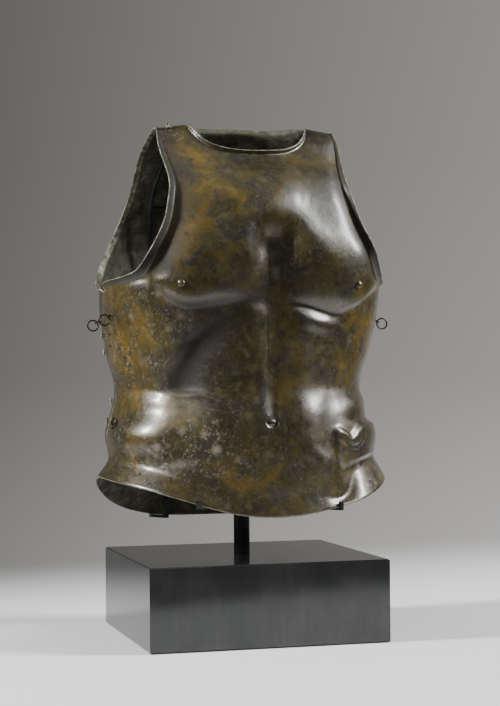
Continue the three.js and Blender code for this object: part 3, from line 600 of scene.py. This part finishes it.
def waxed_bronze():
    """Hammered tin bronze under a waxed patina: ochre and olive brown broken by blue-grey and by a frost of
    beige crystals, with soft gloss. Where the painted-shade field is high, the colour is darkened towards
    near black as painted shade, and the wax is off, so the gloss is dull."""
    material, tree, coords, surface = new_material("waxed_bronze_patina")
    mottle = add_node(tree, "TexNoise", {
        "Vector": coords, "Scale": 95, "Detail": 7, "Roughness": 0.72, "Distortion": 0.3})
    vein = add_node(tree, "TexNoise", {
        "Vector": coords, "Scale": 150, "Detail": 8, "Roughness": 0.78, "Distortion": 0.8})
    patchy = add_node(tree, "TexNoise", {"Vector": coords, "Scale": 30, "Detail": 4, "Roughness": 0.65})
    shift = add_node(tree, "TexNoise", {"Vector": coords, "Scale": 240, "Detail": 3})
    bent = add_node(tree, "VectorMath", {0: shift.outputs["Color"], 1: (0.006, 0.006, 0.006), 2: coords},
                    operation="MULTIPLY_ADD")
    frost = crystal_frost(tree, bent, patchy)
    waxed = waxed_colour(tree, coords, mottle, vein, patchy)
    speckled = add_node(tree, "Mix", {0: frost, 6: waxed, 7: linear("#8b7d6c")}, data_type="RGBA")
    # Painted shade: this field darkens the colour towards near black (#191611) and takes off the wax and
    # gloss.
    shade_share = add_node(tree, "Attribute", attribute_name="painted_shade_and_dull").outputs["Fac"]
    shade_darkened = add_node(tree, "Mix", {0: shade_share, 6: speckled.outputs[2], 7: linear("#191611")}, data_type="RGBA")
    gloss = add_node(tree, "MapRange", {0: mottle.outputs[0], 1: 0.35, 2: 0.65, 3: 0.25, 4: 0.42})
    dulled = add_node(tree, "Math", {0: shade_share, 1: 0.45, 2: gloss.outputs[0]}, operation="MULTIPLY_ADD")
    wax = add_node(tree, "MapRange", {0: shade_share, 1: 0, 2: 1, 3: 0.7, 4: 0})
    bronze = add_node(tree, "BsdfPrincipled", {
        "Base Color": shade_darkened.outputs[2], "Metallic": 0.15, "Roughness": dulled.outputs[0],
        "Specular IOR Level": 0.6, "Normal": hammered_grain(tree, coords, bent, vein, frost),
        "Coat Weight": wax.outputs[0], "Coat Roughness": 0.22})
    tree.links.new(bronze.outputs[0], surface)
    return material


def crusted_bronze(name, noise, stops, bump, metallic, roughness):
    """Bronze without wax: one cloudy pattern, given by its Noise sockets, runs through the colour stops and
    raises a bump, given as strength and height in metres."""
    material, tree, coords, surface = new_material(name)
    crust = add_node(tree, "TexNoise", {"Vector": coords, **noise})
    tint = add_node(tree, "ValToRGB", {0: crust.outputs[0]}, stops=stops)
    raised = add_node(tree, "Bump", {"Strength": bump[0], "Distance": bump[1], "Height": crust.outputs[0]})
    metal = add_node(tree, "BsdfPrincipled", {
        "Base Color": tint.outputs[0], "Metallic": metallic, "Roughness": roughness,
        "Normal": raised.outputs[0]})
    tree.links.new(metal.outputs[0], surface)
    return material


bronze_patina = waxed_bronze()
# The inside of the sheet was never waxed: dull brown-green corrosion in crusts of 14 mm and finer.
bronze_inside = crusted_bronze(
    "corroded_bronze_inside", {"Scale": 70, "Detail": 8, "Roughness": 0.75},
    [(0.3, "#23221a"), (0.47, "#403e30"), (0.58, "#545244"), (0.7, "#77776a")], (0.8, 0.0015), 0.1, 0.75)
# Raw edges of the sheet: handled bright in places, chalky grey-green in others, at 9 mm and finer.
bronze_edge = crusted_bronze(
    "worn_bronze_edge", {"Scale": 110, "Detail": 5, "Roughness": 0.7},
    [(0.32, "#3a392e"), (0.48, "#6c6d5c"), (0.6, "#95957f"), (0.75, "#c2c1b2")], (0.8, 0.0012), 0.3, 0.5)
sheet_finishes = [bronze_patina, bronze_inside, bronze_edge]

# Columns and rows are closer together round the navel.
front_columns = spread(-1, 1, 171, 0.004, 0.05, 19)
front_rows = spread(0, 1, 196, 0.257, 0.03, 25)
point, angle, height, on_lip = plate_grid(-1, front_columns, front_rows)
points, faces, finish, rim = sheet_of(point)

# Frost lies on the right flank, the belly, the left chest, the right strap and the left end of the hem. On
# the right strap and the left end of the hem, the pale crystal is partly frost and partly a painted highlight
# where those surfaces face the light.
frost_and_painted_highlight = 0.2 + patches(angle, height, [
    (1.15, -62, 26, 360, 62), (0.8, -52, 22, 235, 42), (0.6, -22, 17, 236, 44), (0.35, 22, 20, 500, 60),
    (0.5, 50, 16, 350, 60), (0.5, -45, 9, 425, 20)])
# Partly a painted highlight: the top of the right strap is whitened.
frost_and_painted_highlight += 1.7 * swell(angle, -40, 9) * climb(height, 602, 8)
# Partly a painted highlight: the flange at the left end of the hem is whitened.
frost_and_painted_highlight += 1.3 * climb(angle, 39, 3) * climb(214, height, 3)
# The ochre field is partly the patina's warmth and partly painted light. It is highest, and lighter, on the
# right chest and both flanks where the side lights fall. It is lowest, and darker, in the rib hollow as
# painted shade, and over the right hip.
ochre_and_painted_light = 0.3 + patches(angle, height, [
    (-0.5, -28, 9, 352, 34), (0.55, -36, 20, 545, 75), (0.45, -66, 26, 345, 90), (0.35, 58, 24, 350, 90),
    (0.2, 38, 10, 420, 30), (-0.2, 45, 16, 240, 34), (-0.4, -62, 26, 316, 14)])
# Painted shade lies on the armhole lips, in the right armhole's channel where the lip's shadow falls, under
# the right pectoral, in the rib hollow, in the breastbone groove and thinly on the left chest, where it dims
# the highlight. It also takes the wax and gloss off there.
painted_shade_and_dull = 0.85 * on_lip + patches(angle, height, [(0.18, 4, 4, 470, 40), (0.35, 26, 13, 530, 50)])
painted_shade_and_dull += 0.7 * swell(angle, 2 - through(ARM_CREASE, 1, height), 7) * climb(height, 446, 6)
painted_shade_and_dull += (0.6 * swell(height, through(PECTORAL_CREASE, 1, angle) + 2, 8)
            * climb(angle, -38, 3) * climb(-4, angle, 3))
painted_shade_and_dull += (0.9 * swell(angle, 5.5 - through(RIB_EDGE, 1, height), 8.5)
            * climb(height, 300, 10) * climb(398, height, 8))
# Pits follow a line down the left chest. A field has a value for each outer, inner and rim place.
pitted = swell(nearest(angle, height, [[18, 520], [25, 485], [34, 446]]), 0, 15)
fields = {label: np.concatenate([field.ravel(), field.ravel(), field.ravel()[rim]]) for label, field in (
    ("frost_and_painted_highlight", frost_and_painted_highlight), ("ochre_and_painted_light", ochre_and_painted_light), ("painted_shade_and_dull", np.clip(painted_shade_and_dull, 0, 1)), ("pitted", pitted))}
make_piece("breastplate_sheet", points, faces, sheet_finishes, ["breastplate"], finish=finish,
           values=fields)

# ---------------------------------------------------------------- backplate
# The matching half of the same hammered sheet, modelled with shoulder blades and spine.
# It meets the breastplate edge to edge at the sides and on the shoulders, and its inside is worn pale along
# its side seams and armhole lips.

point = plate_grid(1, np.linspace(-1, 1, 121), np.linspace(0, 1, 151))[0]
points, faces, finish = sheet_of(point[::-1], worn=7)[:3]
fields = {"frost_and_painted_highlight": np.full(len(points), 0.4), "ochre_and_painted_light": np.full(len(points), 0.45)}
make_piece("backplate_sheet", points, faces, sheet_finishes, ["backplate"], finish=finish,
           values=fields)

# ---------------------------------------------------------------- fittings
# Cast and drawn bronze bits fixed through the sheet: nipple studs, rivets, rings hung on eyes at the sides,
# and what is left of the hinges: broken knuckles, a washer on the right hip and a pin's stub on the shoulder.

# Dark cast bronze, rubbed pale on the high spots, with crusts of 4 mm and finer.
dark_bronze = crusted_bronze(
    "dark_cast_bronze", {"Scale": 260, "Detail": 5, "Roughness": 0.65},
    [(0.35, "#1c1a15"), (0.55, "#302c22"), (0.75, "#6b6453")], (0.4, 0.0004), 0.7, 0.36)
# The same bronze eaten by chloride: chalky pale green and buff over brown, broken at 3 mm and finer.
green_bronze = crusted_bronze(
    "chalky_green_bronze", {"Scale": 330, "Detail": 6, "Roughness": 0.7},
    [(0.35, "#3a362a"), (0.5, "#6f7058"), (0.62, "#9a9c86"), (0.75, "#c2c2b2")], (0.6, 0.0005), 0.2, 0.7)


def turned(profile, count):
    """A closed profile of (radius, along) turned about the axis: each of its points becomes a circle."""
    profile = np.asarray(profile, float)
    turn = np.linspace(0, 2 * np.pi, count, endpoint=False)
    r, along = profile[:, 0], profile[:, 1]
    points = np.stack([np.outer(np.cos(turn), r), np.outer(np.sin(turn), r), np.tile(along, (count, 1))], -1)
    m = len(profile)
    i, j = np.meshgrid(np.arange(count), np.arange(m), indexing="ij")
    k, n = (i + 1) % count, (j + 1) % m
    faces = np.stack([i * m + j, k * m + j, k * m + n, i * m + n], -1).reshape(-1, 4)
    return points.reshape(-1, 3), faces.tolist()


def set_at(points, middle, axis):
    """Turns points made about +Z so that they stand along an axis, and moves them to the middle."""
    axis = np.asarray(axis, float) / np.linalg.norm(axis)
    level = np.cross([0.0, 0.0, 1.0], axis)
    if np.linalg.norm(level) < 1e-6:
        level = np.array([1.0, 0.0, 0.0])
    level /= np.linalg.norm(level)
    return points @ np.stack([level, np.cross(axis, level), axis]) + middle


def middle_of(name):
    """Middle of a CAD piece's box, in millimetres."""
    low, high = (np.array(v) * 1000 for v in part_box(name))
    return (low + high) / 2


def outward(place):
    """Level direction out of the sheet, to stand a fitting on: the normal of an oval of half axes 170 mm and
    130 mm, whose middle is 10 mm behind the frame's."""
    way = np.array([place[0] / 170 ** 2, (place[1] - 10) / 130 ** 2, 0])
    return way / np.linalg.norm(way)


# Profiles stop this far from their axis, so that a turned piece is closed round a hole too fine to see.
AXIS_GAP = 0.02

# Nipple studs: domed heads 9.2 mm across and 4 mm high with a thin collar, riveted from behind.
arc = np.linspace(0, np.pi / 2, 9)
dome = np.stack([4.6 * np.cos(arc[:-1]), 0.5 + 3.4 * np.sin(arc[:-1])], -1)
stud = np.concatenate([[[AXIS_GAP, -0.2], [4.5, -0.2]], dome, [[AXIS_GAP, 3.9]]])
for hand in ("right", "left"):
    points, faces = turned(stud, 40)
    place = middle_of("nipple_stud_" + hand)
    facing = outward(place)
    fields = {"frost_and_painted_highlight": np.full(len(points), 0.5), "ochre_and_painted_light": np.full(len(points), 0.5)}
    make_piece("stud_" + hand, set_at(points, place - 2.2 * facing, facing), faces, [bronze_patina],
               ["nipple_stud_" + hand], values=fields)

# Rings: drawn wire 1.9 mm thick bent into 15 mm rings, slightly out of round, with the ends butted.
turn = np.linspace(0, 2 * np.pi, 56, endpoint=False)
ring_radius = 6.6 + 0.12 * np.cos(2 * turn + 1)
loop = np.stack([ring_radius * np.cos(turn), 0.15 * np.sin(3 * turn), ring_radius * np.sin(turn)], -1)
for where in ("front_right", "front_left", "back_right", "back_left"):
    points, faces = carried(circle(0.95, 12), loop, closed=True)
    make_piece("wire_ring_" + where, points + middle_of("ring_" + where), faces, [dark_bronze],
               ["ring_" + where])
    wear(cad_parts["ring_eye_" + where], dark_bronze)

# Rivets: 3.2 mm heads hammered down round and left dark.
button = np.stack([1.6 * np.cos(arc[:-1]), 1.9 * np.sin(arc[:-1])], -1)
button = np.concatenate([[[AXIS_GAP, 0]], button, [[AXIS_GAP, 1.9]]])
for where in ("right_upper", "right_lower", "left_upper", "left_lower"):
    points, faces = turned(button, 20)
    place = middle_of("rivet_" + where)
    facing = outward(place)
    make_piece("rivet_head_" + where, set_at(points, place - facing, facing), faces, [dark_bronze],
               ["rivet_" + where])

# Hinge knuckles: broken tubes 7.2 mm long and about 3 mm thick, swollen with green corrosion.
KNUCKLE_LENGTH = 7.2
along = np.linspace(-KNUCKLE_LENGTH / 2, KNUCKLE_LENGTH / 2, 15)
for where in ("upper_1", "upper_2", "lower_1", "lower_2"):
    place = middle_of("hinge_knuckle_" + where)
    radius = 1.5 + 0.25 * unevenness(along * 3, place[2] + along, 0 * along, 9, 7)
    barrel = np.concatenate([[[AXIS_GAP, along[0]]], np.stack([radius, along], -1), [[AXIS_GAP, along[-1]]]])
    points, faces = turned(barrel, 24)
    make_piece("knuckle_" + where, set_at(points, place, [0.02, -0.12, 1]), faces, [green_bronze],
               ["hinge_knuckle_" + where])

# Washer of the lower hinge: a cast ring 16 mm across with a round back and a sunken middle.
points, faces = turned(circle(1, 20) * [2, 1.3] + [6, 0], 48)
place = middle_of("hinge_washer")
make_piece("washer", set_at(points, place, outward(place)), faces, [dark_bronze],
           ["hinge_washer"])

# Shoulder peg: the stub of a hinge pin, swollen and rounded by corrosion, about 4.5 mm thick and 7 mm high.
PEG_HEIGHT = 7
along = np.linspace(0, PEG_HEIGHT, 12)
radius = 2.1 + 0.35 * np.sin(along * 1.3) - 1.2 * np.clip(along + 1 - PEG_HEIGHT, 0, 1)
peg = np.concatenate([[[AXIS_GAP, 0]], np.stack([radius, along], -1), [[AXIS_GAP, PEG_HEIGHT]]])
points, faces = turned(peg, 24)
points = set_at(points - [0, 0, PEG_HEIGHT / 2], middle_of("shoulder_peg"), [-0.2, 0, 1])
make_piece("pin_stub", points, faces, [green_bronze], ["shoulder_peg"])

# ---------------------------------------------------------------- studio
# A pale table that fades into the grey of the room behind, a tall soft light at the right, a small one at the
# left and weak ones in front and above, and the camera.

# Camera: in front, 16 degrees round to the wearer's right, tipped up and rolled a little, with a long lens.
# Its place is given away from the object, aside and up, in metres.
AZIMUTH, PITCH, ROLL = np.radians(-15.85), np.radians(0.908), np.radians(-0.389)
AWAY, ASIDE, EYE_HEIGHT = 2.1278, 0.0120, 0.3180
back = np.array([np.sin(AZIMUTH), -np.cos(AZIMUTH), 0])
right = np.array([np.cos(AZIMUTH), np.sin(AZIMUTH), 0])
up = np.array([0, 0, 1.0])


def stand(thing, place, across, above, ahead):
    """Puts an object at a place with its x along across, its y along above and its z against ahead."""
    pose = Matrix.Identity(4)
    for row in range(3):
        pose[row] = (across[row], above[row], -ahead[row], place[row])
    thing.matrix_world = pose


forward = -back * np.cos(PITCH) + up * np.sin(PITCH)
level_up = np.cross(right, forward)
across = right * np.cos(ROLL) + level_up * np.sin(ROLL)
above = -right * np.sin(ROLL) + level_up * np.cos(ROLL)
camera = bpy.data.objects.new("camera", bpy.data.cameras.new("camera"))
bpy.context.scene.collection.objects.link(camera)
camera.data.lens = 85.91
camera.data.sensor_width = 36
camera.data.clip_start, camera.data.clip_end = 0.05, 50
stand(camera, back * AWAY + right * ASIDE + up * EYE_HEIGHT, across, above, forward)
bpy.context.scene.camera = camera


def table_top():
    """Matt white board that fades to clear from 0.15 m to 1.05 m behind the object's middle and from 0.45 m
    to 0.9 m beside it, and ends 0.5 m in front. Both lines slant: it reaches further back at the right."""
    material, tree, coords, surface = new_material("matt_white_table")
    faced = add_node(tree, "Mapping", {"Vector": coords, "Rotation": (0, 0, -AZIMUTH)})
    split = add_node(tree, "SeparateXYZ", {0: faced.outputs[0]})
    aside, depth = split.outputs[0], split.outputs[1]
    far_line = add_node(tree, "Math", {0: aside, 1: -0.55, 2: depth}, operation="MULTIPLY_ADD")
    far_fade = add_node(tree, "MapRange", {0: far_line.outputs[0], 1: 0.15, 2: 1.05, 3: 1, 4: 0},
                        interpolation_type="SMOOTHSTEP")
    near_line = add_node(tree, "Math", {0: aside, 1: 0.103, 2: depth}, operation="MULTIPLY_ADD")
    near_fade = add_node(tree, "MapRange", {0: near_line.outputs[0], 1: -0.51, 2: -0.49, 3: 0, 4: 1})
    off_middle = add_node(tree, "Math", {0: aside}, operation="ABSOLUTE")
    side_fade = add_node(tree, "MapRange", {0: off_middle.outputs[0], 1: 0.45, 2: 0.9, 3: 1, 4: 0},
                         interpolation_type="SMOOTHSTEP")
    depth_fade = add_node(tree, "Math", {0: far_fade.outputs[0], 1: near_fade.outputs[0]},
                          operation="MULTIPLY")
    shown = add_node(tree, "Math", {0: depth_fade.outputs[0], 1: side_fade.outputs[0]}, operation="MULTIPLY")
    board = add_node(tree, "BsdfPrincipled", {"Base Color": linear("#ececec"), "Roughness": 0.75})
    clear = add_node(tree, "BsdfTransparent")
    faded = add_node(tree, "MixShader", {0: shown.outputs[0], 1: clear.outputs[0], 2: board.outputs[0]})
    tree.links.new(faded.outputs[0], surface)
    return material


# Table: a flat sheet 3.2 m square, half a millimetre under the block.
TABLE_HALF, TABLE_HEIGHT = 1.6, -0.0005
corners = [(x * TABLE_HALF, y * TABLE_HALF, TABLE_HEIGHT) for x, y in ((-1, -1), (1, -1), (1, 1), (-1, 1))]
mesh = bpy.data.meshes.new("table")
mesh.from_pydata(corners, [], [(0, 1, 2, 3)])
mesh.materials.append(table_top())
table = bpy.data.objects.new("table", mesh)
bpy.context.scene.collection.objects.link(table)

# Room: a grey wall, paler low down and towards the right, and darker even grey all round for the reflections.
world = bpy.data.worlds.new("studio_room")
bpy.context.scene.world = world
world.use_nodes = True
tree = world.node_tree
tree.nodes.clear()
way = tree.nodes.new("ShaderNodeTexCoord").outputs["Generated"]
out = tree.nodes.new("ShaderNodeOutputWorld")
faced = add_node(tree, "Mapping", {"Vector": way, "Rotation": (0, 0, -AZIMUTH)})
split = add_node(tree, "SeparateXYZ", {0: faced.outputs[0]})
climbing = add_node(tree, "MapRange", {0: split.outputs[2], 1: -0.15, 2: 0.25})
wall_grey = add_node(tree, "ValToRGB", {0: climbing.outputs[0]}, stops=[
    (0.0, "#b4b3b1"), (0.2, "#a3a19f"), (0.38, "#8e8c8a"), (0.7, "#85837f"), (1.0, "#817f7b")])
slant = add_node(tree, "MapRange", {0: split.outputs[0], 1: -0.17, 2: 0.17, 3: 0.55, 4: 1.35})
shaded = add_node(tree, "Mix", {0: 1.0, 6: wall_grey.outputs[0], 7: slant.outputs[0]}, data_type="RGBA",
                  blend_type="MULTIPLY")
wall = add_node(tree, "Background", {0: shaded.outputs[2], 1: 1.0})
room = add_node(tree, "Background", {0: linear("#55534f"), 1: 0.45})
looking = add_node(tree, "LightPath")
behind = add_node(tree, "MapRange", {0: split.outputs[1], 1: 0.6, 2: 0.9, 3: 0, 4: 0.9})
wall_share = add_node(tree, "Math", {0: looking.outputs["Is Camera Ray"], 1: behind.outputs[0]},
                      operation="MAXIMUM")
mixed = add_node(tree, "MixShader", {0: wall_share.outputs[0], 1: room.outputs[0], 2: wall.outputs[0]})
tree.links.new(mixed.outputs[0], out.inputs[0])

# Soft lights aimed at the middle of the object: metres to the right, towards the camera and up, size, watts.
# The front one is a fill: it brings out the patina's colour and isn't seen in the gloss.
LIGHTS = (
    ("light_right", 2.75, 0.19, 2.19, (0.62, 1.7), 176), ("light_right_front", 1.2, 0.9, 1.9, (0.5, 0.5), 2),
    ("light_front", -0.35, 2.5, 0.55, (1.6, 1.0), 16), ("light_left", -2.6, 0.96, 1.79, (0.34, 0.54), 178),
    ("light_top", -0.1, 0.2, 1.9, (1.2, 0.8), 1))
AIM_HEIGHT = 0.35
for name, sideways, toward, high, size, power in LIGHTS:
    lamp = bpy.data.lights.new(name, "AREA")
    lamp.shape = "RECTANGLE"
    lamp.size, lamp.size_y = size
    lamp.energy = power
    light = bpy.data.objects.new(name, lamp)
    bpy.context.scene.collection.objects.link(light)
    light.visible_glossy = name != "light_front"
    place = right * sideways + back * toward + up * high
    aim = up * AIM_HEIGHT - place
    aim /= np.linalg.norm(aim)
    level = np.cross(aim, up + 1e-4 * right)
    level /= np.linalg.norm(level)
    stand(light, place, level, np.cross(level, aim), aim)
